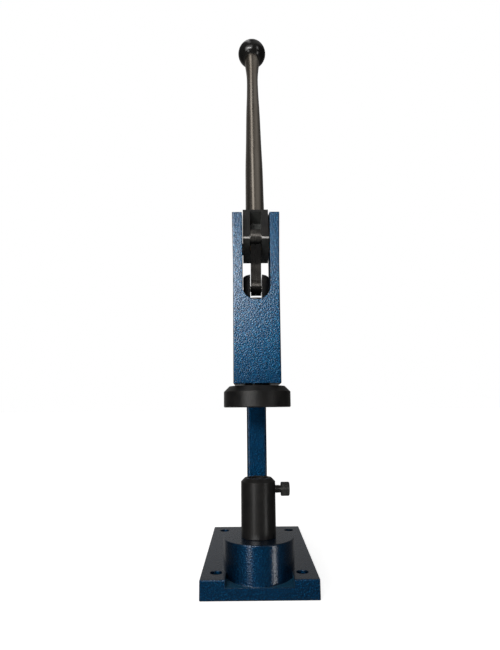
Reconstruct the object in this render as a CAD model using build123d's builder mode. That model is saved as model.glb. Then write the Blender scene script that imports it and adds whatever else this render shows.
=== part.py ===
from build123d import *
from math import cos, hypot, radians, sin, sqrt, tan
import os

os.makedirs("parts", exist_ok=True)

# Toggle-lever bench press. Millimetres, +Z up.
# Origin: centre of the four base bolt holes on the underside of the base.
# The operator stands on the -Y side. The ram axis is vertical at X = 0.

# ---------------------------------------------------------------- dimensions
ram_y = -70.0            # ram axis, ahead of the bolt pattern's centre

base_w = 108.0           # base plate, X
base_l = 210.0           # base plate, Y
base_t = 18.0
bolt_dx = 80.0           # bolt pattern
bolt_dy = 168.0
bolt_d = 11.0            # for M10

boss_r = 34.0            # round boss under the die holder
boss_top = 46.3
relief_w = 62.0          # relief in the front edge, ahead of the boss
relief_z = 10.9          # its floor at the front face

web_t = 22.0             # C-shaped web

head_w = 46.5            # head block
head_y0 = ram_y - 25.5   # front face
head_y1 = ram_y + 24.5   # back face
head_z0 = 192.0
head_z1 = 365.6          # front edge of the cheeks
head_slope = 15.0        # the cheeks' tops rise to the back by this, degrees
flare_z0 = 312.0         # the cheeks' sides flare out above here
flare = 0.9              # on each side, at the front edge of the top

web_fillet = 5.0         # cast fillets: web to head and web to base
boss_fillet = 0.8        # boss to base

fork_w = 28.2            # slot through the head, front to back
fork_floor = 274.9       # lowest point of its round floor
bush_od = 28.0
ram_d = 25.0
ram_head_d = 27.0        # head of the ram, in the fork
ram_head_z0 = 276.8
bush_id = 25.08
bush_len = 25.0
upper_bush_z0 = 229.5    # its top stays under the ram's head at full travel

pivot_y = ram_y + 3.0    # lever pivot
pivot_z = 336.3
pivot_d = 10.0
lean = 25.1              # the lever leans back by this at rest

hub_w = 26.6             # lever hub, X
hub_front = 25.5         # from the pivot, across the lever
hub_back = 14.0
hub_low = 9.2            # from the pivot, along the lever
hub_high = 31.4
hub_slot_w = 12.0
hub_slot_back = 7.1      # slot floor, in front of the pivot
crank_r = 16.0           # pivot to link pin
link_pin_d = 8.0
pivot_bush_od = 12.0

rod_d = 20.0
knob_d = 40.0
knob_t = 358.1           # knob centre, from the hub's top face

link_plate_t = 5.3
link_gap = 0.14          # between the two plates
link_eye_r = 8.4         # upper eye
link_low_eye_r = 9.0     # lower eye
link_low_hole_r = 6.1    # opened-out lower eye, see the notes on the linkage
link_half_w = 4.8        # half the width of the shank
ram_pin_d = 6.0
ram_pin_z = 291.0
low_eye_dy = 1.49        # centre of the lower eye from the ram pin, at rest
low_eye_dz = 2.31

ram_top = 303.8
clevis_w = 12.0
clevis_floor = 279.5
platen_d = 67.0
platen_z0 = 169.5
platen_z1 = 190.4
platen_chamfer = 5.5
tool_bore_d = 14.0

sleeve_od = 33.5
sleeve_top = 101.5
sleeve_bore_d = 20.0
sleeve_bore_z = 56.5
sleeve_spigot_d = 20.0
sleeve_spigot_z = 14.5
clamp_z = 90.5
stop_z = 341.7           # rest stop screw
clamp_head_x = 22.0      # underside of the clamp screw's head

# Directions of the lever at rest, in the YZ plane
lu = (cos(radians(lean)), -sin(radians(lean)))   # across, front to back
lv = (sin(radians(lean)), cos(radians(lean)))    # up the lever


def at_lever(u, v):
    """Y, Z of a point given across and along the lever from the pivot."""
    return (pivot_y + u * lu[0] + v * lv[0], pivot_z + u * lu[1] + v * lv[1])


# Work plane of the lever's side view: x across the lever, y up it, normal +X
lever_plane = Plane(
    origin=(0, pivot_y, pivot_z), x_dir=(0, lu[0], lu[1]), z_dir=(1, 0, 0)
)
# Work plane square to the lever on the hub's top face: normal up the lever
top_y, top_z = at_lever(0, hub_high)
rod_plane = Plane(
    origin=(0, top_y, top_z), x_dir=(1, 0, 0), z_dir=(0, lv[0], lv[1])
)

# ---------------------------------------------------------------- frame
# Base plate: side profile with a soft front edge, drawn through X
with BuildPart() as base_plate:
    with BuildSketch(Plane.YZ) as base_profile:
        with Locations((0, base_t / 2)):
            Rectangle(base_l, base_t)
        corners = base_profile.vertices()
        top_front = corners.filter_by_position(Axis.Y, -200, -100).sort_by(Axis.Z)[-1:]
        fillet(top_front, 7.5)
        top_back = (
            base_profile.vertices().filter_by_position(Axis.Y, 100, 200).sort_by(Axis.Z)
        )
        fillet(top_back[-1:], 1.0)
        low = base_profile.vertices().filter_by_position(Axis.Z, -0.1, 0.1)
        fillet(low, 1.0)
    extrude(amount=base_w / 2, both=True)
    fillet(base_plate.faces().filter_by(Axis.X).edges(), 0.9)
    # relief in the front edge, so that the boss runs down past the plate's top
    with BuildSketch(Plane.YZ):
        with BuildLine():
            Polyline(
                (-base_l / 2 - 1, 5.0),
                (ram_y, 5.0),
                (ram_y, base_t + 1),
                (-base_l / 2 - 1, base_t + 1),
                close=True,
            )
        make_face()
    extrude(amount=relief_w / 2, both=True, mode=Mode.SUBTRACT)
    with BuildSketch(Plane.YZ) as relief_floor:
        with BuildLine():
            Polyline(
                (-base_l / 2, 4.0),
                (ram_y, 4.0),
                (ram_y, relief_z + 4.4),
                (-base_l / 2, relief_z),
                close=True,
            )
        make_face()
        lip = relief_floor.vertices().sort_by_distance((0, -base_l / 2, relief_z))
        fillet(lip[:1], 4.0)
    extrude(amount=relief_w / 2, both=True)
base_plate.part.label = "base_plate"

# Boss
with BuildPart() as boss:
    with BuildSketch(Plane.XY.offset(4.0)):
        with Locations((0, ram_y)):
            Circle(boss_r)
    extrude(amount=boss_top - 4.0)
    fillet(boss.faces().sort_by(Axis.Z)[-1].edges(), 1.0)

# Web: C-shaped plate from the base to the back of the head
with BuildPart() as web:
    with BuildSketch(Plane.YZ):
        with BuildLine():
            outline = FilletPolyline(
                (ram_y + 40.0, 8.0),
                (ram_y + 48.0, 20.0),
                (ram_y + 66.0, 44.0),
                (ram_y + 66.0, 208.0),
                (ram_y + 12.0, 208.0),
                (ram_y + 12.0, 268.0),
                (ram_y + 96.0, 268.0),
                (ram_y + 136.0, 196.0),
                (ram_y + 146.0, 44.0),
                (ram_y + 164.0, 20.0),
                (ram_y + 166.0, 8.0),
                radius=[3.0, 24.0, 36.0, 1.0, 1.0, 40.0, 60.0, 24.0, 3.0],
            )
            Line(outline @ 1, outline @ 0)
        make_face()
    extrude(amount=web_t / 2, both=True)
    fillet(web.faces().filter_by(Axis.X).edges(), 3.0)

# Head block: its sides flare a little towards the top, which slopes up to the back
head_l = head_y1 - head_y0
head_cy = (head_y0 + head_y1) / 2
crown_z = head_z1 + head_l * tan(radians(head_slope)) + 1.0
crown_flare = flare * (crown_z - flare_z0) / (head_z1 - flare_z0)
with BuildPart() as head:
    with BuildSketch(Plane.XY.offset(head_z0)):
        with Locations((0, head_cy)):
            RectangleRounded(head_w, head_l, 1.2)
    extrude(amount=flare_z0 - head_z0)
    with BuildSketch(Plane.XY.offset(flare_z0)):
        with Locations((0, head_cy)):
            RectangleRounded(head_w, head_l, 1.2)
    with BuildSketch(Plane.XY.offset(crown_z)):
        with Locations((0, head_cy)):
            RectangleRounded(head_w + 2 * crown_flare, head_l, 1.2)
    loft(ruled=True)
    with BuildSketch(Plane.YZ):
        with BuildLine():
            Polyline(
                (head_y0 - 5.0, head_z1 - 5.0 * tan(radians(head_slope))),
                (head_y1 + 5.0, head_z1 + (head_l + 5.0) * tan(radians(head_slope))),
                (head_y1 + 5.0, crown_z + 20.0),
                (head_y0 - 5.0, crown_z + 20.0),
                close=True,
            )
        make_face()
    extrude(amount=60.0, both=True, mode=Mode.SUBTRACT)
    fillet(head.faces().sort_by(Axis.Z)[-1].edges(), 0.6)
    chamfer(head.faces().sort_by(Axis.Z)[0].edges(), 0.6)

with BuildPart() as frame_casting:
    add(base_plate.part)
    add(boss.part)
    add(web.part)
    add(head.part)
    # cast fillets round the web's root on the head and its foot on the base
    web_root = (
        frame_casting.edges()
        .filter_by_position(Axis.Y, head_y1 - 0.02, head_y1 + 0.02)
        .filter_by_position(Axis.X, -web_t / 2 - 0.2, web_t / 2 + 0.2)
        .filter_by_position(Axis.Z, 200.0, 272.0)
    )
    fillet(web_root, web_fillet)
    web_foot = (
        frame_casting.edges()
        .filter_by_position(Axis.Z, base_t - 0.02, base_t + 0.02)
        .filter_by_position(Axis.X, -web_t / 2 - 0.2, web_t / 2 + 0.2)
        .filter_by_position(Axis.Y, -30.0, 99.0)
    )
    fillet(web_foot, web_fillet)
    # cast fillet round the boss
    boss_foot = frame_casting.edges().filter_by(
        lambda e: e.bounding_box().max.Z < base_t + 0.02
        and e.bounding_box().min.Z > base_t - 0.1
        and abs(hypot((e @ 0.5).X, (e @ 0.5).Y - ram_y) - boss_r) < 0.05
    )
    fillet(boss_foot, boss_fillet)
    # fork: slot through the head with a round floor
    with BuildSketch(Plane.XZ.offset(-(head_y1 + 0.01))):
        with Locations((0, fork_floor + fork_w / 2)):
            Circle(fork_w / 2)
        with Locations((0, fork_floor + fork_w / 2 + 75)):
            Rectangle(fork_w, 150)
    extrude(amount=head_y1 - head_y0 + 2, mode=Mode.SUBTRACT)
    # rest stop: a bridge across the back of the fork
    with BuildSketch(Plane.YZ):
        with BuildLine():
            FilletPolyline(
                (ram_y + 18.0, 336.5),
                (ram_y + 31.5, 336.5),
                (ram_y + 31.5, 347.0),
                (ram_y + 18.0, 347.0),
                radius=[2.5, 2.5],
            )
            Line((ram_y + 18.0, 347.0), (ram_y + 18.0, 336.5))
        make_face()
    extrude(amount=fork_w / 2 + 0.4, both=True)
    # room for the hub to turn past the bridge, and for its back face at rest
    with BuildSketch(lever_plane):
        Circle(17.3)
    extrude(amount=fork_w / 2, both=True, mode=Mode.SUBTRACT)
    with BuildSketch(lever_plane):
        with Locations((0, 15)):
            Rectangle(2 * (hub_back + 0.8), 34)
    extrude(amount=fork_w / 2, both=True, mode=Mode.SUBTRACT)
    # bore for the ram's bushes, down from the fork
    with BuildSketch(Plane.XY.offset(head_z0 - 1)):
        with Locations((0, ram_y)):
            Circle(bush_od / 2)
    extrude(amount=fork_floor + fork_w / 2 - head_z0 + 1, mode=Mode.SUBTRACT)
    # pivot pin bore through both cheeks
    with BuildSketch(lever_plane):
        Circle(pivot_d / 2)
    extrude(amount=head_w, both=True, mode=Mode.SUBTRACT)
    # tapped hole down to the pivot pin
    with BuildSketch(Plane.XY.offset(head_z1 + 20)):
        with Locations((-18.7, pivot_y)):
            Circle(2.5)
    extrude(amount=-(head_z1 + 20 - pivot_z - 2), mode=Mode.SUBTRACT)
    # tapped hole for the stop screw
    with BuildSketch(Plane.XZ.offset(-(ram_y + 33))):
        with Locations((0, stop_z)):
            Circle(3.0)
    extrude(amount=14, mode=Mode.SUBTRACT)
    # seat and fixing hole of the die holder
    with BuildSketch(Plane.XY.offset(sleeve_spigot_z - 0.5)):
        with Locations((0, ram_y)):
            Circle(sleeve_spigot_d / 2)
    extrude(amount=40, mode=Mode.SUBTRACT)
    with BuildSketch(Plane.XY.offset(-1)):
        with Locations((0, ram_y)):
            Circle(4.3)
    extrude(amount=20, mode=Mode.SUBTRACT)
    with BuildSketch(Plane.XY.offset(-1)):
        with Locations((0, ram_y)):
            Circle(7.5)
    extrude(amount=10, mode=Mode.SUBTRACT)
    # shallow relief in the underside
    with BuildSketch(Plane.XY.offset(-1)):
        with Locations((0, 16)):
            RectangleRounded(60, 116, 10)
    extrude(amount=3, mode=Mode.SUBTRACT)
    # bolt holes
    with BuildSketch(Plane.XY.offset(-1)):
        with GridLocations(bolt_dx, bolt_dy, 2, 2):
            Circle(bolt_d / 2)
    extrude(amount=base_t + 2, mode=Mode.SUBTRACT)
    hole_rims = (
        frame_casting.edges()
        .filter_by(GeomType.CIRCLE)
        .filter_by_position(Axis.Z, base_t - 0.05, base_t + 0.05)
        .filter_by(lambda e: abs(e.radius - bolt_d / 2) < 0.01)
    )
    chamfer(hole_rims, 0.5)
frame_casting.part.label = "frame_casting"
export_step(frame_casting.part, "parts/frame_casting.step")

# ---------------------------------------------------------------- ram bushes
with BuildPart() as ram_bush_upper:
    with BuildSketch(Plane.XY.offset(upper_bush_z0)):
        with Locations((0, ram_y)):
            Circle(bush_od / 2)
            Circle(bush_id / 2, mode=Mode.SUBTRACT)
    extrude(amount=bush_len)
ram_bush_upper.part.label = "ram_bush_upper"
export_step(ram_bush_upper.part, "parts/ram_bush_upper.step")

with BuildPart() as ram_bush_lower:
    with BuildSketch(Plane.XY.offset(head_z0 + 0.6)):
        with Locations((0, ram_y)):
            Circle(bush_od / 2)
            Circle(bush_id / 2, mode=Mode.SUBTRACT)
    extrude(amount=bush_len)
ram_bush_lower.part.label = "ram_bush_lower"
export_step(ram_bush_lower.part, "parts/ram_bush_lower.step")

# ---------------------------------------------------------------- pivot pin
with BuildPart() as pivot_pin:
    with BuildSketch(lever_plane):
        Circle(pivot_d / 2)
    extrude(amount=23.0, both=True)
    chamfer(pivot_pin.faces().filter_by(Axis.X).edges(), 0.6)
pivot_pin.part.label = "pivot_pin"
export_step(pivot_pin.part, "parts/pivot_pin.step")

with BuildPart() as pivot_pin_screw:
    with BuildSketch(Plane.XY.offset(pivot_z + pivot_d / 2 + 0.03)):
        with Locations((-18.7, pivot_y)):
            Circle(2.5)
    extrude(amount=8.0)
    chamfer(pivot_pin_screw.faces().filter_by(Axis.Z).edges(), 0.4)
    with BuildSketch(pivot_pin_screw.faces().sort_by(Axis.Z)[-1]):
        RegularPolygon(2.5 / 2, 6, major_radius=False)
    extrude(amount=-2.6, mode=Mode.SUBTRACT)
pivot_pin_screw.part.label = "pivot_pin_screw"
export_step(pivot_pin_screw.part, "parts/pivot_pin_screw.step")

# ---------------------------------------------------------------- rest stop
stop_gap = 0.25
stop_cy = pivot_y + (
    (hub_back + 3.0 + stop_gap) - (stop_z - pivot_z) * lu[1]
) / lu[0]
with BuildPart() as stop_screw:
    with BuildSketch(Plane.YZ):
        with BuildLine():
            Polyline(
                (stop_cy - 3.0, stop_z),
                (stop_cy + 19.0, stop_z),
                (stop_cy + 19.0, stop_z + 2.6),
                (stop_cy + 18.6, stop_z + 3.0),
                (stop_cy, stop_z + 3.0),
            )
            RadiusArc((stop_cy, stop_z + 3.0), (stop_cy - 3.0, stop_z), -3.0)
        make_face()
    revolve(axis=Axis((0, 0, stop_z), (0, 1, 0)))
    with BuildSketch(stop_screw.faces().sort_by(Axis.Y)[-1]):
        RegularPolygon(3.0 / 2, 6, major_radius=False)
    extrude(amount=-3.0, mode=Mode.SUBTRACT)
stop_screw.part.label = "stop_screw"
export_step(stop_screw.part, "parts/stop_screw.step")

with BuildPart() as stop_lock_nut:
    with BuildSketch(Plane.XZ.offset(-(ram_y + 31.5))):
        with Locations((0, stop_z)):
            RegularPolygon(10.0 / 2, 6, major_radius=False)
            Circle(3.0, mode=Mode.SUBTRACT)
    extrude(amount=-5.0)
    with BuildSketch(Plane.YZ):
        with BuildLine():
            Polyline(
                (ram_y + 31.5, stop_z),
                (ram_y + 31.5, stop_z + 5.1),
                (ram_y + 32.1, stop_z + 6.2),
                (ram_y + 35.9, stop_z + 6.2),
                (ram_y + 36.5, stop_z + 5.1),
                (ram_y + 36.5, stop_z),
                close=True,
            )
        make_face()
    revolve(axis=Axis((0, 0, stop_z), (0, 1, 0)), mode=Mode.INTERSECT)
stop_lock_nut.part.label = "stop_lock_nut"
export_step(stop_lock_nut.part, "parts/stop_lock_nut.step")

# ---------------------------------------------------------------- die holder
with BuildPart() as die_holder:
    with BuildSketch(Plane.XZ.offset(-ram_y)):
        with BuildLine():
            Polyline(
                (0, sleeve_spigot_z),
                (sleeve_spigot_d / 2 - 0.8, sleeve_spigot_z),
                (sleeve_spigot_d / 2, sleeve_spigot_z + 0.8),
                (sleeve_spigot_d / 2, boss_top),
                (sleeve_od / 2 - 0.5, boss_top),
                (sleeve_od / 2, boss_top + 0.5),
                (sleeve_od / 2, sleeve_top - 3.6),
                (sleeve_od / 2 - 3.6, sleeve_top),
                (sleeve_bore_d / 2 + 0.6, sleeve_top),
                (sleeve_bore_d / 2, sleeve_top - 0.6),
                (sleeve_bore_d / 2, sleeve_bore_z),
                (0, sleeve_bore_z),
                close=True,
            )
        make_face()
    revolve(axis=Axis((0, ram_y, 0), (0, 0, 1)))
    # tapped hole for the fixing screw, from below
    with BuildSketch(Plane.XY.offset(sleeve_spigot_z - 1)):
        with Locations((0, ram_y)):
            Circle(4.0)
    extrude(amount=28.0, mode=Mode.SUBTRACT)
    # tapped hole for the clamp screw
    with BuildSketch(Plane.YZ):
        with Locations((ram_y, clamp_z)):
            Circle(4.05)
    extrude(amount=30.0, mode=Mode.SUBTRACT)
die_holder.part.label = "die_holder"
export_step(die_holder.part, "parts/die_holder.step")

with BuildPart() as die_holder_screw:
    with BuildSketch(Plane.XZ.offset(-ram_y)):
        with BuildLine():
            Polyline(
                (0, 1.0),
                (6.0, 1.0),
                (6.5, 1.5),
                (6.5, 9.0),
                (4.0, 9.0),
                (4.0, 36.3),
                (3.3, 37.0),
                (0, 37.0),
                close=True,
            )
        make_face()
    revolve(axis=Axis((0, ram_y, 0), (0, 0, 1)))
    with BuildSketch(Plane.XY.offset(1.0)):
        with Locations((0, ram_y)):
            RegularPolygon(6.0 / 2, 6, major_radius=False)
    extrude(amount=4.0, mode=Mode.SUBTRACT)
die_holder_screw.part.label = "die_holder_screw"
export_step(die_holder_screw.part, "parts/die_holder_screw.step")

# ---------------------------------------------------------------- clamp screw
screw_r = 4.0
root_r = 3.35
pitch = 1.25
tip_x = 12.4
n_turns = 7
knurl_teeth = 40
thread = []
x = clamp_head_x - 0.9
for i in range(n_turns):
    thread += [
        (x, clamp_z + root_r),
        (x - 0.15, clamp_z + root_r),
        (x - 0.55, clamp_z + screw_r),
        (x - 0.70, clamp_z + screw_r),
    ]
    x -= pitch
x_last = x
with BuildPart() as clamp_screw:
    with BuildSketch(Plane.XZ.offset(-ram_y)):
        with BuildLine():
            Polyline(
                (tip_x, clamp_z),
                (clamp_head_x + 8.5, clamp_z),
                (clamp_head_x + 8.5, clamp_z + 5.75),
                (clamp_head_x + 7.6, clamp_z + 6.65),
                (clamp_head_x + 0.6, clamp_z + 6.65),
                (clamp_head_x, clamp_z + 6.05),
                (clamp_head_x, clamp_z + root_r),
                *thread,
                (x_last, clamp_z + root_r),
                (tip_x, clamp_z + root_r - 0.4),
                close=True,
            )
        make_face()
    revolve(axis=Axis((0, ram_y, clamp_z), (1, 0, 0)))
    with BuildSketch(Plane.YZ.offset(clamp_head_x + 8.5)):
        with Locations((ram_y, clamp_z)):
            RegularPolygon(6.0 / 2, 6, major_radius=False)
    extrude(amount=-4.0, mode=Mode.SUBTRACT)
    # straight knurl round the head
    with BuildSketch(Plane.YZ.offset(clamp_head_x + 1.0)):
        with Locations((ram_y, clamp_z)):
            with PolarLocations(6.65, knurl_teeth):
                Polygon(
                    (0.3, -0.42), (0.3, 0.42), (-0.24, 0.0), align=None
                )
    extrude(amount=6.2, mode=Mode.SUBTRACT)
    # seat of the pad's stem
    with BuildSketch(Plane.YZ.offset(tip_x - 1)):
        with Locations((ram_y, clamp_z)):
            Circle(1.55)
    extrude(amount=5.0, mode=Mode.SUBTRACT)
clamp_screw.part.label = "clamp_screw"
export_step(clamp_screw.part, "parts/clamp_screw.step")

with BuildPart() as clamp_pad:
    with BuildSketch(Plane.XZ.offset(-ram_y)):
        with BuildLine():
            Polyline(
                (10.2, clamp_z),
                (10.2, clamp_z + 2.7),
                (10.6, clamp_z + 3.1),
                (12.1, clamp_z + 3.1),
                (12.1, clamp_z + 1.5),
                (15.9, clamp_z + 1.5),
                (15.9, clamp_z),
                close=True,
            )
        make_face()
    revolve(axis=Axis((0, ram_y, clamp_z), (1, 0, 0)))
clamp_pad.part.label = "clamp_pad"
export_step(clamp_pad.part, "parts/clamp_pad.step")

# ---------------------------------------------------------------- lever hub
with BuildPart() as lever_hub:
    with BuildSketch(lever_plane):
        with BuildLine():
            Polyline(
                (-hub_front, -hub_low),
                (hub_back, -hub_low),
                (hub_back, hub_high),
                (-hub_front, hub_high),
                close=True,
            )
        make_face()
    extrude(amount=hub_w / 2, both=True)
    # bare chamfer along the lower front edge, light ones elsewhere
    front_low = (
        lever_hub.edges()
        .filter_by(Axis.X)
        .sort_by_distance((0, *at_lever(-hub_front, -hub_low)))[:1]
    )
    chamfer(front_low, 1.1)
    others = (
        lever_hub.edges()
        .filter_by(Axis.X)
        .sort_by_distance((0, *at_lever(-hub_front, -hub_low)))[2:]
    )
    chamfer(others, 0.2)
    # slot for the link plates, open in front and below
    with BuildSketch(lever_plane):
        with BuildLine():
            Polyline(
                (-hub_front - 1, -hub_low - 1),
                (1.4, -hub_low - 1),
                (-hub_slot_back, 0.2),
                (-hub_slot_back, 28.4),
                (-hub_front - 1, 28.4),
                close=True,
            )
        make_face()
    extrude(amount=hub_slot_w / 2, both=True, mode=Mode.SUBTRACT)
    # pivot bore, link pin bore
    with BuildSketch(lever_plane):
        Circle(pivot_bush_od / 2)
        with Locations((-crank_r, 0)):
            Circle(link_pin_d / 2)
    extrude(amount=hub_w, both=True, mode=Mode.SUBTRACT)
    # socket of the lever rod
    with BuildSketch(rod_plane):
        Circle(5.0)
    extrude(amount=-20.0, mode=Mode.SUBTRACT)
    # tapped hole for the rod's grub screw
    with BuildSketch(
        Plane(
            origin=(0, *at_lever(hub_back + 1, 19.0)),
            x_dir=(1, 0, 0),
            z_dir=(0, -lu[0], -lu[1]),
        )
    ):
        Circle(2.5)
    extrude(amount=hub_back + 1, mode=Mode.SUBTRACT)
lever_hub.part.label = "lever_hub"
export_step(lever_hub.part, "parts/lever_hub.step")

with BuildPart() as rod_grub_screw:
    with BuildSketch(
        Plane(
            origin=(0, *at_lever(5.03, 19.0)),
            x_dir=(1, 0, 0),
            z_dir=(0, lu[0], lu[1]),
        )
    ):
        Circle(2.5)
    extrude(amount=8.0)
    grub_ends = rod_grub_screw.faces().filter_by(GeomType.PLANE)
    chamfer(grub_ends.edges(), 0.35)
    with BuildSketch(rod_grub_screw.faces().sort_by(Axis.Y)[-1]):
        RegularPolygon(2.5 / 2, 6, major_radius=False)
    extrude(amount=-2.6, mode=Mode.SUBTRACT)
rod_grub_screw.part.label = "rod_grub_screw"
export_step(rod_grub_screw.part, "parts/rod_grub_screw.step")

with BuildPart() as pivot_bushes:
    for side in (-1, 1):
        with BuildSketch(lever_plane.offset(side * hub_w / 2)):
            Circle(pivot_bush_od / 2)
            Circle(pivot_d / 2 + 0.04, mode=Mode.SUBTRACT)
        extrude(amount=-side * 12.0)
pivot_bushes.part.label = "pivot_bushes"
export_step(pivot_bushes.part, "parts/pivot_bushes.step")

with BuildPart() as link_pin:
    with BuildSketch(lever_plane):
        with Locations((-crank_r, 0)):
            Circle(link_pin_d / 2)
    extrude(amount=13.0, both=True)
    chamfer(link_pin.faces().filter_by(Axis.X).edges(), 0.4)
link_pin.part.label = "link_pin"
export_step(link_pin.part, "parts/link_pin.step")

# ---------------------------------------------------------------- lever rod
# Radius of the rod against the distance from the hub's top face
knob_flat = 341.0
rod_r = rod_d / 2 + 0.3
rod_profile = [
    (88.8, rod_r),
    (132.8, 9.7),
    (182.8, 9.15),
    (219.8, 8.6),
    (245.8, 8.0),
    (273.8, 7.65),
    (294.8, 7.85),
    (312.8, 8.95),
    (328.8, 10.15),
    (knob_flat, 10.55),
]
with BuildPart() as lever_rod:
    with BuildSketch(Plane(origin=rod_plane.origin, x_dir=(1, 0, 0), z_dir=(0, -lv[1], lv[0]))):
        with BuildLine():
            Polyline(
                (0, knob_flat + 18.0),
                (0, -19.5),
                (4.4, -19.5),
                (5.0, -18.9),
                (5.0, 0.0),
                (rod_r - 0.8, 0.0),
                (rod_r, 0.8),
                (rod_r, 88.8),
            )
            Spline(
                *[(r, t) for t, r in rod_profile],
                tangents=((0, 1), (0.0, 1)),
            )
            Polyline(
                (10.55, knob_flat),
                (5.0, knob_flat),
                (5.0, knob_flat + 17.4),
                (4.4, knob_flat + 18.0),
                (0, knob_flat + 18.0),
            )
        make_face()
    revolve(axis=Axis(rod_plane.origin, (0, lv[0], lv[1])))
lever_rod.part.label = "lever_rod"
export_step(lever_rod.part, "parts/lever_rod.step")

# ---------------------------------------------------------------- knob
with BuildPart() as knob:
    with BuildSketch(Plane(origin=rod_plane.origin, x_dir=(1, 0, 0), z_dir=(0, -lv[1], lv[0]))):
        with BuildLine():
            knob_r = knob_d / 2
            flat_r = sqrt(knob_r**2 - (knob_t - knob_flat) ** 2)
            Polyline(
                (7.0, knob_flat),
                (7.0, knob_flat + 20.0),
                (0, knob_flat + 20.0),
                (0, knob_t + knob_r),
            )
            ThreePointArc(
                (0, knob_t + knob_r),
                (knob_r, knob_t),
                (flat_r, knob_flat),
            )
            Line((flat_r, knob_flat), (7.0, knob_flat))
        make_face()
    revolve(axis=Axis(rod_plane.origin, (0, lv[0], lv[1])))
knob.part.label = "knob"
export_step(knob.part, "parts/knob.step")

with BuildPart() as knob_insert:
    with BuildSketch(rod_plane.offset(knob_flat)):
        Circle(7.0)
        Circle(5.0, mode=Mode.SUBTRACT)
    extrude(amount=19.5)
knob_insert.part.label = "knob_insert"
export_step(knob_insert.part, "parts/knob_insert.step")

# ---------------------------------------------------------------- link plates
up_y, up_z = at_lever(-crank_r, 0)
lo_y, lo_z = ram_y + low_eye_dy, ram_pin_z + low_eye_dz
link_len = sqrt((lo_y - up_y) ** 2 + (lo_z - up_z) ** 2)
ld = ((lo_y - up_y) / link_len, (lo_z - up_z) / link_len)
link_plane = Plane(
    origin=(0, up_y, up_z), x_dir=(0, ld[1], -ld[0]), z_dir=(1, 0, 0)
)
# in this plane +y runs from the upper eye towards the lower eye reversed in sign
link_y = Vector(0, ld[0], ld[1]).dot(link_plane.y_dir)
low_at = link_len * (1 if link_y > 0 else -1)
with BuildPart() as link_plates:
    for side in (-1, 1):
        with BuildSketch(link_plane.offset(side * (link_gap / 2 + link_plate_t / 2))):
            Circle(link_eye_r)
            with Locations((0, low_at)):
                Circle(link_low_eye_r)
            with Locations((0, low_at / 2)):
                Rectangle(2 * link_half_w, link_len)
            Circle(5.0, mode=Mode.SUBTRACT)
            with Locations((0, low_at)):
                Circle(link_low_hole_r, mode=Mode.SUBTRACT)
        extrude(amount=link_plate_t / 2, both=True)
link_plates.part.label = "link_plates"
export_step(link_plates.part, "parts/link_plates.step")

with BuildPart() as link_bush:
    with BuildSketch(link_plane):
        Circle(5.0)
        Circle(link_pin_d / 2 + 0.04, mode=Mode.SUBTRACT)
    extrude(amount=link_plate_t + link_gap / 2 - 0.05, both=True)
link_bush.part.label = "link_bush"
export_step(link_bush.part, "parts/link_bush.step")

# ---------------------------------------------------------------- ram
with BuildPart() as ram:
    with BuildSketch(Plane.XY.offset(platen_z1)):
        with Locations((0, ram_y)):
            Circle(ram_d / 2)
    extrude(amount=ram_top - platen_z1)
    with BuildSketch(Plane.XY.offset(ram_head_z0)):
        with Locations((0, ram_y)):
            Circle(ram_head_d / 2)
    extrude(amount=ram_top - ram_head_z0)
    chamfer(ram.faces().sort_by(Axis.Z)[-1].edges(), 1.0)
    # clevis slot
    with BuildSketch(Plane.XZ.offset(-(ram_y + 20))):
        with Locations((0, clevis_floor + 20)):
            Rectangle(clevis_w, 40)
    extrude(amount=40, mode=Mode.SUBTRACT)
    # broken front and back edges of the slot's floor
    floor_edges = (
        ram.edges()
        .filter_by_position(Axis.Z, clevis_floor - 0.01, clevis_floor + 0.01)
        .filter_by(GeomType.CIRCLE)
    )
    chamfer(floor_edges, 0.9)
    # pin through the clevis
    with BuildSketch(Plane.YZ):
        with Locations((ram_y, ram_pin_z)):
            Circle(ram_pin_d / 2)
    extrude(amount=20, both=True, mode=Mode.SUBTRACT)
    # tool bore from below
    with BuildSketch(Plane.XY.offset(platen_z1 - 1)):
        with Locations((0, ram_y)):
            Circle(tool_bore_d / 2)
    extrude(amount=34, mode=Mode.SUBTRACT)
    # tapped hole for the platen's grub screw
    with BuildSketch(Plane.XZ.offset(-ram_y)):
        with Locations((0, 203.0)):
            Circle(3.0)
    extrude(amount=20, mode=Mode.SUBTRACT)
ram.part.label = "ram"
export_step(ram.part, "parts/ram.step")

with BuildPart() as ram_pin:
    with BuildSketch(Plane.YZ):
        with Locations((ram_y, ram_pin_z)):
            Circle(ram_pin_d / 2)
    extrude(amount=12.0, both=True)
    chamfer(ram_pin.faces().filter_by(Axis.X).edges(), 0.3)
ram_pin.part.label = "ram_pin"
export_step(ram_pin.part, "parts/ram_pin.step")

with BuildPart() as platen:
    with BuildSketch(Plane.XZ.offset(-ram_y)):
        with BuildLine():
            Polyline(
                (0, platen_z0),
                (platen_d / 2 - 0.8, platen_z0),
                (platen_d / 2, platen_z0 + 0.8),
                (platen_d / 2, platen_z1 - platen_chamfer),
                (platen_d / 2 - platen_chamfer, platen_z1),
                (tool_bore_d / 2, platen_z1),
                (tool_bore_d / 2, platen_z1 + 29.0),
                (tool_bore_d / 2 - 1.0, platen_z1 + 30.0),
                (0, platen_z1 + 30.0),
                close=True,
            )
        make_face()
    revolve(axis=Axis((0, ram_y, 0), (0, 0, 1)))
platen.part.label = "platen"
export_step(platen.part, "parts/platen.step")

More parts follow.
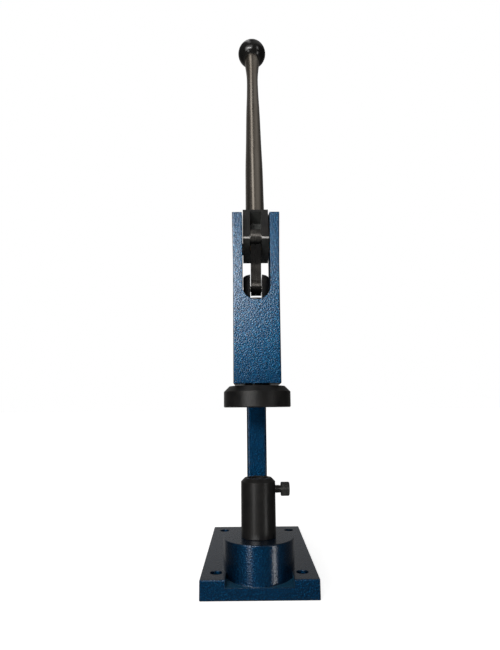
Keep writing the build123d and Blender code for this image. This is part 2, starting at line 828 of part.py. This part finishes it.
with BuildPart() as platen_grub_screw:
    with BuildSketch(Plane.XZ.offset(-ram_y + tool_bore_d / 2 + 0.03)):
        with Locations((0, 203.0)):
            Circle(3.0)
    extrude(amount=4.9)
    with BuildSketch(Plane.XZ.offset(-ram_y + tool_bore_d / 2 + 0.03 + 4.9)):
        with Locations((0, 203.0)):
            RegularPolygon(3.0 / 2, 6, major_radius=False)
    extrude(amount=-2.5, mode=Mode.SUBTRACT)
platen_grub_screw.part.label = "platen_grub_screw"
export_step(platen_grub_screw.part, "parts/platen_grub_screw.step")
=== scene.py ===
import math

import bmesh
import bpy
from mathutils import Matrix, Vector

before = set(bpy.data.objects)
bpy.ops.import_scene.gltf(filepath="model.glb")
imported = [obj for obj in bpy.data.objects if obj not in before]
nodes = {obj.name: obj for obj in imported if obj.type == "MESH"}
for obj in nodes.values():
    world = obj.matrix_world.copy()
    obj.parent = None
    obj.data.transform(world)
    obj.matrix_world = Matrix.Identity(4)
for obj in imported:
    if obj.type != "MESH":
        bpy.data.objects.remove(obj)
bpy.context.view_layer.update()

scene = bpy.context.scene

# ------------------------------------------------------------------ camera
# Solved from the object's own edges: focal length 515 px for a 650 px high picture.
CAM_AT = Vector((-0.00799, -0.5935, 0.16796))
PITCH, YAW, ROLL = math.radians(9.25), math.radians(0.15), math.radians(-0.5)
fwd = Vector((math.sin(YAW) * math.cos(PITCH), math.cos(YAW) * math.cos(PITCH), math.sin(PITCH)))
right = Vector((math.cos(YAW), -math.sin(YAW), 0.0))
up = right.cross(fwd)
r2 = math.cos(ROLL) * right + math.sin(ROLL) * up
u2 = -math.sin(ROLL) * right + math.cos(ROLL) * up
cam_data = bpy.data.cameras.new("camera")
cam_data.sensor_fit = "AUTO"
cam_data.sensor_width = 36.0
cam_data.lens = 36.0 * 515.03 / 650.0
cam_data.clip_start, cam_data.clip_end = 0.01, 200.0
cam = bpy.data.objects.new("camera", cam_data)
scene.collection.objects.link(cam)
cam.matrix_world = Matrix(
    (
        (r2.x, u2.x, -fwd.x, CAM_AT.x),
        (r2.y, u2.y, -fwd.y, CAM_AT.y),
        (r2.z, u2.z, -fwd.z, CAM_AT.z),
        (0, 0, 0, 1),
    )
)
scene.camera = cam

scene.view_settings.view_transform = "Standard"
scene.view_settings.look = "None"
scene.view_settings.exposure = 0.0
scene.view_settings.gamma = 1.0

# ------------------------------------------------------------------ shapes known from the CAD
RAM_Y = -0.070
PIVOT = (0.0, -0.067, 0.3363)
LEAN = math.radians(25.1)
LU = (0.0, math.cos(LEAN), -math.sin(LEAN))
LV = (0.0, math.sin(LEAN), math.cos(LEAN))


# ------------------------------------------------------------------ node helper
class Graph:
    """A material's node tree, with short calls for the nodes used here."""

    def __init__(self, name):
        self.mat = bpy.data.materials.new(name)
        self.mat.use_nodes = True
        self.t = self.mat.node_tree
        self.t.nodes.clear()
        self.out = self.t.nodes.new("ShaderNodeOutputMaterial")
        self.p = self.t.nodes.new("ShaderNodeBsdfPrincipled")
        self.t.links.new(self.p.outputs["BSDF"], self.out.inputs["Surface"])
        self.tc = self.t.nodes.new("ShaderNodeTexCoord")
        self.obj = self.tc.outputs["Object"]

    def set(self, **values):
        for key, value in values.items():
            self.p.inputs[key.replace("_", " ")].default_value = value
        return self

    def _in(self, socket, value):
        if isinstance(value, bpy.types.NodeSocket):
            self.t.links.new(value, socket)
        elif value is not None:
            socket.default_value = value

    def to(self, name, socket):
        self.t.links.new(socket, self.p.inputs[name])

    def math(self, op, a, b=None, c=None, clamp=False):
        n = self.t.nodes.new("ShaderNodeMath")
        n.operation = op
        n.use_clamp = clamp
        for i, v in enumerate((a, b, c)):
            self._in(n.inputs[i], v)
        return n.outputs[0]

    def vec(self, op, a, b=None):
        n = self.t.nodes.new("ShaderNodeVectorMath")
        n.operation = op
        self._in(n.inputs[0], a)
        self._in(n.inputs[1], b)
        return n.outputs["Value"] if op in ("DOT_PRODUCT", "LENGTH", "DISTANCE") else n.outputs[0]

    def split(self, v):
        n = self.t.nodes.new("ShaderNodeSeparateXYZ")
        self._in(n.inputs[0], v)
        return n.outputs[0], n.outputs[1], n.outputs[2]

    def join(self, x, y, z):
        n = self.t.nodes.new("ShaderNodeCombineXYZ")
        self._in(n.inputs[0], x)
        self._in(n.inputs[1], y)
        self._in(n.inputs[2], z)
        return n.outputs[0]

    def local(self, at, rotation=(0, 0, 0)):
        """Coordinates in a frame placed at a point of the row frame."""
        n = self.t.nodes.new("ShaderNodeMapping")
        n.vector_type = "TEXTURE"
        n.inputs["Location"].default_value = at
        n.inputs["Rotation"].default_value = rotation
        self.t.links.new(self.obj, n.inputs["Vector"])
        return n.outputs[0]

    def scaled(self, v, s):
        return self.vec("MULTIPLY", v, s)

    def noise(self, v, scale, detail=3.0, rough=0.5, distort=0.0):
        n = self.t.nodes.new("ShaderNodeTexNoise")
        n.noise_dimensions = "3D"
        self._in(n.inputs["Vector"], v)
        n.inputs["Scale"].default_value = scale
        n.inputs["Detail"].default_value = detail
        n.inputs["Roughness"].default_value = rough
        n.inputs["Distortion"].default_value = distort
        return n.outputs[0]

    def cells(self, v, scale, feature="F1", smooth=0.0, randomness=1.0, out="Distance"):
        n = self.t.nodes.new("ShaderNodeTexVoronoi")
        n.feature = feature
        self._in(n.inputs["Vector"], v)
        n.inputs["Scale"].default_value = scale
        if feature == "SMOOTH_F1":
            n.inputs["Smoothness"].default_value = smooth
        n.inputs["Randomness"].default_value = randomness
        return n.outputs[out]

    def range(self, v, a, b, c=0.0, d=1.0, smooth=False):
        n = self.t.nodes.new("ShaderNodeMapRange")
        n.interpolation_type = "SMOOTHSTEP" if smooth else "LINEAR"
        n.clamp = True
        self._in(n.inputs["Value"], v)
        n.inputs["From Min"].default_value = a
        n.inputs["From Max"].default_value = b
        n.inputs["To Min"].default_value = c
        n.inputs["To Max"].default_value = d
        return n.outputs["Result"]

    def mix(self, fac, a, b):
        n = self.t.nodes.new("ShaderNodeMix")
        n.data_type = "RGBA"
        n.clamp_factor = True
        self._in(n.inputs[0], fac)
        self._in(n.inputs[6], a)
        self._in(n.inputs[7], b)
        return n.outputs[2]

    def mixf(self, fac, a, b):
        n = self.t.nodes.new("ShaderNodeMix")
        n.data_type = "FLOAT"
        n.clamp_factor = True
        self._in(n.inputs[0], fac)
        self._in(n.inputs[2], a)
        self._in(n.inputs[3], b)
        return n.outputs[0]

    def bump(self, height, distance, strength=1.0, normal=None):
        n = self.t.nodes.new("ShaderNodeBump")
        n.inputs["Strength"].default_value = strength
        n.inputs["Distance"].default_value = distance
        self._in(n.inputs["Height"], height)
        if normal is not None:
            self.t.links.new(normal, n.inputs["Normal"])
        return n.outputs[0]

    def rounded(self, radius, samples=4):
        """Normal with the edges rounded by a radius, in metres."""
        n = self.t.nodes.new("ShaderNodeBevel")
        n.samples = samples
        n.inputs["Radius"].default_value = radius
        return n.outputs[0]

    def edges(self, radius, low=0.02, high=0.22):
        """1 along sharp edges, 0 on faces."""
        n = self.t.nodes.new("ShaderNodeNewGeometry")
        d = self.vec("DOT_PRODUCT", self.rounded(radius, 6), n.outputs["Normal"])
        return self.range(self.math("SUBTRACT", 1.0, d), low, high)


def rgb(r, g, b):
    return (r, g, b, 1.0)


# ------------------------------------------------------------------ materials
def hammertone():
    """Metallic hammer finish: tinted flakes in small cells under a clear, dimpled coat."""
    g = Graph("hammertone_blue")
    fine = g.noise(g.obj, 900.0, 2.0, 0.6)
    wander = g.noise(g.obj, 330.0, 2.0, 0.5)
    warped = g.vec("ADD", g.obj, g.scaled(g.join(wander, fine, wander), (0.0014, 0.0014, 0.0014)))
    cell = g.cells(warped, 640.0, "SMOOTH_F1", smooth=0.30)
    ridge = g.range(cell, 0.08, 0.60)
    grain = g.noise(g.obj, 760.0, 3.0, 0.65)
    flake = g.noise(g.obj, 980.0, 2.0, 0.6)
    blotch = g.noise(g.obj, 20.0, 3.0, 0.5)
    dark, mid, pale = rgb(0.0008, 0.050, 0.128), rgb(0.0024, 0.098, 0.225), rgb(0.030, 0.200, 0.360)
    body = g.mix(ridge, mid, dark)
    body = g.mix(g.range(grain, 0.42, 0.60, 0.0, 0.75), body, rgb(0.0006, 0.036, 0.104))
    px, py, pz = g.split(g.obj)
    # painted shade: the web, boss and base are coloured darker towards the bottom, with fewer pale flakes
    low_shade = g.range(pz, 0.185, 0.225, 1.0, 0.0)
    speck = g.math("MULTIPLY", g.range(flake, 0.53, 0.66, 0.0, 0.9), g.mixf(low_shade, 1.0, 0.5))
    body = g.mix(speck, body, pale)
    body = g.mix(g.range(blotch, 0.35, 0.70, 0.0, 0.25), body, rgb(0.0010, 0.056, 0.150))
    # painted shade: darker blue on the lower parts
    body = g.mix(g.math("MULTIPLY", low_shade, 0.66), body, rgb(0.0006, 0.0158, 0.0485))
    # painted shade: the cheeks' tops are coloured a little darker again
    cheek_top_shade = g.range(pz, 0.335, 0.375)
    body = g.mix(g.math("MULTIPLY", cheek_top_shade, 0.55), body, rgb(0.0006, 0.0300, 0.0850))
    # painted shade: inside the fork slot the paint is coloured dark and dull
    down = g.math("MINIMUM", g.math("SUBTRACT", pz, 0.2890), 0.0)
    reach = g.math("SQRT", g.math("ADD", g.math("MULTIPLY", px, px), g.math("MULTIPLY", down, down)))
    inside = g.math("MULTIPLY", g.range(reach, 0.01416, 0.01424, 1.0, 0.0), g.range(pz, 0.270, 0.271))
    under = g.range(pz, 0.0002, 0.0006, 1.0, 0.0)
    bare = g.mix(grain, rgb(0.16, 0.155, 0.15), rgb(0.30, 0.29, 0.28))
    body = g.mix(g.math("MULTIPLY", inside, 0.8), body, rgb(0.004, 0.014, 0.030))
    # painted light: in the relief ahead of the boss the paint is coloured paler, dull and not metallic, to lift the
    # shade at its square ends
    ahead = g.math("SUBTRACT", py, RAM_Y)
    around = g.math("SQRT", g.math("ADD", g.math("MULTIPLY", px, px), g.math("MULTIPLY", ahead, ahead)))
    relief_lift = g.math("MULTIPLY", g.range(g.math("ABSOLUTE", px), 0.03105, 0.03115, 1.0, 0.0), g.range(pz, 0.0176, 0.0180, 1.0, 0.0))
    relief_lift = g.math("MULTIPLY", relief_lift, g.range(around, 0.03406, 0.03412))
    relief_lift = g.math("MULTIPLY", relief_lift, g.math("MULTIPLY", g.range(py, -0.1048, -0.1040), g.range(pz, 0.0060, 0.0090)))
    body = g.mix(relief_lift, body, g.mix(g.range(flake, 0.5, 0.62), rgb(0.0016, 0.044, 0.094), rgb(0.008, 0.082, 0.150)))
    g.to("Metallic", g.mixf(relief_lift, 1.0, 0.0))
    rubbed = g.math("MULTIPLY", g.edges(0.0009, 0.05, 0.30), g.math("MULTIPLY", low_shade, 0.40))
    body = g.mix(rubbed, body, rgb(0.090, 0.130, 0.165))
    g.to("Base Color", g.mix(under, body, bare))
    dull = g.math("MAXIMUM", inside, under)
    g.to("Roughness", g.mixf(dull, g.range(grain, 0.2, 0.8, 0.42, 0.52), 0.72))
    height = g.math("ADD", g.math("MULTIPLY", ridge, -1.0), g.math("MULTIPLY", grain, 0.9))
    smooth = g.rounded(0.0006)
    g.to("Normal", g.bump(g.math("MULTIPLY", height, g.mixf(low_shade, 1.0, 0.8)), 0.00028, 1.0, smooth))
    g.to("Coat Normal", g.bump(height, 0.000042, 1.0, smooth))
    g.to("Coat Weight", g.mixf(g.math("MAXIMUM", dull, g.math("MULTIPLY", relief_lift, 0.8)), 1.0, 0.0))
    g.set(Coat_Roughness=0.15, Coat_IOR=1.5)
    return g.mat


def black_oxide(name="black_oxide", turned=None, tone=1.0, wear=1.0, rough=0.36, coat=0.12, specular=0.5):
    """Blackened steel. turned is the axis of a turned part: a point and a rotation."""
    g = Graph(name)
    cloud = g.noise(g.obj, 70.0, 4.0, 0.6)
    fine = g.noise(g.obj, 2400.0, 2.0, 0.6)
    base = g.mix(g.range(cloud, 0.3, 0.75), rgb(0.017 * tone, 0.0172 * tone, 0.018 * tone), rgb(0.034 * tone, 0.032 * tone, 0.030 * tone))
    worn = g.math(
        "MULTIPLY",
        g.edges(0.00045),
        g.range(g.noise(g.obj, 420.0, 3.0, 0.65), 0.42, 0.66),
    )
    base = g.mix(g.math("MULTIPLY", worn, 0.55 * wear), base, rgb(0.30, 0.285, 0.26))
    g.to("Base Color", base)
    if turned is not None:
        at, rot = turned
        q = g.local(at, rot)
        x, y, z = g.split(q)
        radius = g.math("SQRT", g.math("ADD", g.math("MULTIPLY", x, x), g.math("MULTIPLY", y, y)))
        along = g.math("ADD", radius, z)
        rings = g.noise(g.join(0.0, 0.0, along), 5200.0, 2.0, 0.6)
        height = g.math("ADD", g.math("MULTIPLY", rings, 0.8), g.math("MULTIPLY", fine, 0.25))
        depth = 0.0000035
    else:
        height = g.math("ADD", g.math("MULTIPLY", fine, 0.6), g.math("MULTIPLY", cloud, 0.4))
        depth = 0.000008
    g.to("Roughness", g.range(g.math("ADD", cloud, g.math("MULTIPLY", fine, 0.4)), 0.3, 1.1, rough - 0.07, rough + 0.12))
    g.to("Normal", g.bump(height, depth, 1.0, g.rounded(0.0003)))
    g.set(Metallic=0.35, Coat_Weight=coat, Coat_Roughness=0.25)
    g.p.inputs["Specular IOR Level"].default_value = specular
    return g


def steel_rod():
    """Drawn bar: fine lengthwise grain, brown patina in soft patches."""
    g = Graph("turned_steel")
    q = g.local(PIVOT, (-LEAN, 0.0, 0.0))
    streak = g.noise(g.scaled(q, (1.0, 1.0, 0.010)), 2600.0, 3.0, 0.65)
    streak2 = g.noise(g.scaled(q, (1.0, 1.0, 0.02)), 800.0, 3.0, 0.6)
    cloud = g.noise(g.scaled(q, (1.0, 1.0, 0.22)), 48.0, 4.0, 0.6)
    tone = g.math("ADD", g.math("MULTIPLY", streak, 0.5), g.math("MULTIPLY", streak2, 0.5))
    base = g.mix(g.range(tone, 0.3, 0.7), rgb(0.27, 0.235, 0.195), rgb(0.44, 0.40, 0.35))
    base = g.mix(g.range(cloud, 0.42, 0.70, 0.0, 0.6), base, rgb(0.26, 0.215, 0.17))
    g.to("Base Color", base)
    g.to("Roughness", g.range(g.math("ADD", cloud, tone), 0.7, 1.3, 0.20, 0.34))
    g.to("Normal", g.bump(tone, 0.000005, 1.0, g.rounded(0.0003)))
    g.set(Metallic=1.0)
    return g.mat


def plain_steel(name, dark, light, rough, metallic=0.95, grain=1800.0):
    g = Graph(name)
    cloud = g.noise(g.obj, 90.0, 4.0, 0.6)
    fine = g.noise(g.obj, grain, 3.0, 0.6)
    base = g.mix(g.range(cloud, 0.3, 0.72), dark, light)
    worn = g.math("MULTIPLY", g.edges(0.0004), 0.6)
    base = g.mix(worn, base, rgb(0.55, 0.53, 0.50))
    g.to("Base Color", base)
    g.to("Roughness", g.range(g.math("ADD", cloud, fine), 0.6, 1.4, rough - 0.06, rough + 0.10))
    g.to("Normal", g.bump(fine, 0.000006, 1.0, g.rounded(0.0003)))
    g.set(Metallic=metallic)
    return g.mat


def phenolic():
    g = Graph("knob_black")
    cloud = g.noise(g.obj, 45.0, 3.0, 0.5)
    orange = g.noise(g.obj, 380.0, 2.0, 0.5)
    scratch = g.noise(g.scaled(g.obj, (1.0, 0.2, 1.6)), 1500.0, 2.0, 0.6)
    g.to("Base Color", g.mix(g.range(cloud, 0.3, 0.7), rgb(0.008, 0.008, 0.0085), rgb(0.014, 0.0135, 0.013)))
    g.to("Roughness", g.range(g.math("ADD", cloud, scratch), 0.7, 1.3, 0.10, 0.22))
    g.to("Normal", g.bump(orange, 0.000012, 1.0))
    g.set(Coat_Weight=0.15, Coat_Roughness=0.04)
    g.p.inputs["Specular IOR Level"].default_value = 0.36
    return g.mat


def yellow_metal(name, dark, light, rough):
    g = Graph(name)
    cloud = g.noise(g.obj, 120.0, 4.0, 0.6)
    rings = g.noise(g.scaled(g.obj, (0.1, 0.1, 1.0)), 2600.0, 2.0, 0.6)
    g.to("Base Color", g.mix(g.range(cloud, 0.3, 0.7), dark, light))
    g.to("Roughness", g.range(g.math("ADD", cloud, rings), 0.6, 1.4, rough - 0.06, rough + 0.12))
    g.to("Normal", g.bump(rings, 0.000006, 1.0, g.rounded(0.0003)))
    g.set(Metallic=1.0)
    return g.mat


VERTICAL = ((0.0, RAM_Y, 0.0), (0.0, 0.0, 0.0))
paint = hammertone()
oxide = black_oxide().mat
oxide_turned = black_oxide("black_oxide_turned", VERTICAL, tone=0.70, rough=0.32, coat=0.08, specular=0.36).mat
oxide_screw = black_oxide("black_oxide_screw", ((0.0, RAM_Y, 0.0905), (0.0, math.pi / 2, 0.0)), tone=0.85, rough=0.32).mat
oxide_ram = black_oxide("black_oxide_ram", VERTICAL, tone=1.9, wear=1.6, rough=0.42).mat


def hub_finish():
    """Blackened block: slot coloured a lighter grey to lift its shade, underside greyer, lower front chamfer bare and
    near-white as a painted highlight.
    """
    g = black_oxide("black_oxide_hub", None, tone=0.95, wear=0.8, rough=0.40)
    base = g.p.inputs["Base Color"].links[0].from_socket
    across, u, v = g.split(g.local(PIVOT, (-LEAN, 0.0, 0.0)))
    # painted light: the slot's inside is coloured a lighter grey to lift its shade; the underside is greyer too
    slot = g.math(
        "MULTIPLY",
        g.range(g.math("ABSOLUTE", across), 0.00603, 0.00608, 1.0, 0.0),
        g.range(u, -0.02540, -0.02530),
    )
    below = g.range(v, -0.00912, -0.00905, 1.0, 0.0)
    # painted highlight: the lower front chamfer is bare steel coloured near-white
    chamfer_highlight = g.range(g.math("MULTIPLY", g.math("ADD", u, v), -0.70711), 0.02362, 0.02368)
    mottle = g.noise(g.obj, 260.0, 3.0, 0.6)
    grey = g.mix(g.range(mottle, 0.3, 0.7), rgb(0.095, 0.100, 0.096), rgb(0.165, 0.170, 0.162))
    base = g.mix(g.math("MAXIMUM", slot, g.math("MULTIPLY", below, 0.75)), base, grey)
    bare = g.mix(g.range(mottle, 0.35, 0.65), rgb(0.62, 0.61, 0.59), rgb(0.92, 0.91, 0.89))
    g.to("Base Color", g.mix(chamfer_highlight, base, bare))
    return g.mat


oxide_hub = hub_finish()

rod_steel = steel_rod()
bright = plain_steel("bright_steel", rgb(0.40, 0.39, 0.37), rgb(0.60, 0.585, 0.56), 0.24)


def link_finish():
    """Link steel, plain on the shank, with painted shade near both eyes where they sit in the hub's and ram's slots.
    """
    mat = plain_steel("link_steel", rgb(0.060, 0.056, 0.052), rgb(0.12, 0.113, 0.103), 0.34, metallic=0.8)
    g = Graph.__new__(Graph)
    g.mat, g.t = mat, mat.node_tree
    g.p = next(n for n in g.t.nodes if n.type == "BSDF_PRINCIPLED")
    g.obj = next(n for n in g.t.nodes if n.type == "TEX_COORD").outputs["Object"]
    base = g.p.inputs["Base Color"].links[0].from_socket
    px, py, pz = g.split(g.obj)
    wave = g.math("MULTIPLY", g.math("SUBTRACT", g.noise(g.obj, 300.0, 2.0, 0.5), 0.5), 0.004)
    z = g.math("ADD", pz, wave)
    # painted shade: the link is coloured near-black near both eyes, inside the hub's and ram's slots
    upper = g.math("MULTIPLY", g.range(z, 0.3135, 0.3165), g.range(z, 0.3370, 0.3395, 1.0, 0.0))
    lower = g.range(z, 0.2915, 0.2940, 1.0, 0.0)
    eye_shade = g.math("MAXIMUM", upper, lower)
    g.to("Base Color", g.mix(g.math("MULTIPLY", eye_shade, 0.85), base, rgb(0.010, 0.010, 0.0105)))
    return mat


link_steel = link_finish()
knob_black = phenolic()
bronze = yellow_metal("bronze", rgb(0.42, 0.26, 0.11), rgb(0.60, 0.41, 0.19), 0.34)
brass = yellow_metal("brass", rgb(0.55, 0.38, 0.14), rgb(0.74, 0.56, 0.25), 0.28)

material_of = {
    "frame_casting": paint,
    "ram_bush_upper": bronze,
    "ram_bush_lower": bronze,
    "pivot_pin": bright,
    "pivot_pin_screw": oxide,
    "stop_screw": oxide,
    "stop_lock_nut": oxide,
    "die_holder": oxide_turned,
    "die_holder_screw": oxide_turned,
    "clamp_screw": oxide_screw,
    "clamp_pad": brass,
    "lever_hub": oxide_hub,
    "rod_grub_screw": oxide,
    "pivot_bushes": bronze,
    "link_pin": bright,
    "lever_rod": rod_steel,
    "knob": knob_black,
    "knob_insert": brass,
    "link_plates": link_steel,
    "link_bush": bronze,
    "ram": oxide_ram,
    "ram_pin": bright,
    "platen": oxide_turned,
    "platen_grub_screw": oxide,
}
for name, obj in nodes.items():
    mesh = obj.data
    mesh.materials.clear()
    mesh.materials.append(material_of[name])

# ------------------------------------------------------------------ floor
floor_mesh = bpy.data.meshes.new("floor")
bm = bmesh.new()
bmesh.ops.create_circle(bm, cap_ends=True, cap_tris=False, segments=96, radius=40.0)
bm.to_mesh(floor_mesh)
bm.free()
floor = bpy.data.objects.new("floor", floor_mesh)
scene.collection.objects.link(floor)
floor.location = (0.0, 0.0, -0.0001)
g = Graph("floor")
soft = g.noise(g.obj, 3.0, 2.0, 0.5)
g.to("Base Color", g.mix(soft, rgb(0.78, 0.78, 0.78), rgb(0.82, 0.82, 0.82)))
g.set(Roughness=0.9, Emission_Color=(1, 1, 1, 1), Emission_Strength=0.80)
g.p.inputs["Specular IOR Level"].default_value = 0.1
floor_mesh.materials.append(g.mat)
floor.visible_glossy = False
floor.visible_diffuse = False
floor.visible_shadow = False

# ------------------------------------------------------------------ studio light
world = bpy.data.worlds.new("studio")
scene.world = world
world.use_nodes = True
wt = world.node_tree
wt.nodes.clear()


class WorldGraph(Graph):
    def __init__(self, tree):
        self.t = tree


w = WorldGraph(wt)
tc = wt.nodes.new("ShaderNodeTexCoord")
x, y, z = w.split(tc.outputs["Generated"])
az = w.math("ARCTAN2", x, w.math("MULTIPLY", y, -1.0))
el = w.math("ARCSINE", z)


def panel(az0, el0, half_w, half_h, soft_w, soft_h, level):
    """A soft light panel seen in a direction, in degrees: azimuth from -Y towards +X, elevation above the horizon."""
    a = w.math("ABSOLUTE", w.math("SUBTRACT", az, math.radians(az0)))
    e = w.math("ABSOLUTE", w.math("SUBTRACT", el, math.radians(el0)))
    fa = w.range(a, math.radians(half_w + soft_w), math.radians(max(half_w - soft_w, 0)), smooth=True)
    fe = w.range(e, math.radians(half_h + soft_h), math.radians(max(half_h - soft_h, 0)), smooth=True)
    return w.math("MULTIPLY", w.math("MULTIPLY", fa, fe), level)


side = w.math("ABSOLUTE", az)
back = w.range(side, math.radians(118), math.radians(152), 0.0, 1.0, smooth=True)
back = w.math("MULTIPLY", back, w.range(x, -0.45, 0.45, 0.215, 0.07))
flank = w.range(side, math.radians(55), math.radians(110), 0.0, 1.0, smooth=True)
ambient = w.math("ADD", w.mixf(flank, 0.012, 0.028), back)
ambient = w.mixf(w.range(z, -0.12, -0.55, 0.0, 1.0, smooth=True), ambient, 0.085)
ambient = w.mixf(w.range(z, 0.62, 0.93, 0.0, 1.0, smooth=True), ambient, w.range(x, -0.3, 0.5, 0.10, 0.36))
# light thrown back from the pale floor, near the part
ambient = w.math("ADD", ambient, w.range(z, -0.34, -0.56, 0.0, 0.20, smooth=True))
# long strip light overhead, a little to the left
strip = w.math(
    "MULTIPLY",
    w.range(w.math("ABSOLUTE", w.math("ADD", x, 0.22)), 0.15, 0.07, smooth=True),
    w.range(z, 0.80, 0.90, 0.0, 1.15, smooth=True),
)
total = w.math("MULTIPLY", w.math("ADD", ambient, strip), w.range(z, 0.975, 0.992, 1.0, 0.35, smooth=True))
for p in (
    (-20, 15.0, 17, 3.8, 7, 4.2, 20.0),
    (-42, 14, 9, 13, 5, 6, 3.5),
    (-15, 30, 22, 5, 6, 3, 1.6),
    (45, 20, 6, 10, 4, 6, 3.0),
    (-30, -8, 5, 5, 4, 4, 6.0),
    (50, -15, 5, 8, 3, 4, 5.0),
):
    total = w.math("ADD", total, panel(*p))
lit = wt.nodes.new("ShaderNodeBackground")
wt.links.new(total, lit.inputs["Strength"])
lit.inputs["Color"].default_value = (1.0, 0.99, 0.975, 1.0)
seen = wt.nodes.new("ShaderNodeBackground")
seen.inputs["Color"].default_value = (1.0, 1.0, 1.0, 1.0)
seen.inputs["Strength"].default_value = 1.0
path = wt.nodes.new("ShaderNodeLightPath")
mixs = wt.nodes.new("ShaderNodeMixShader")
wt.links.new(path.outputs["Is Camera Ray"], mixs.inputs[0])
wt.links.new(lit.outputs[0], mixs.inputs[1])
wt.links.new(seen.outputs[0], mixs.inputs[2])
wout = wt.nodes.new("ShaderNodeOutputWorld")
wt.links.new(mixs.outputs[0], wout.inputs["Surface"])
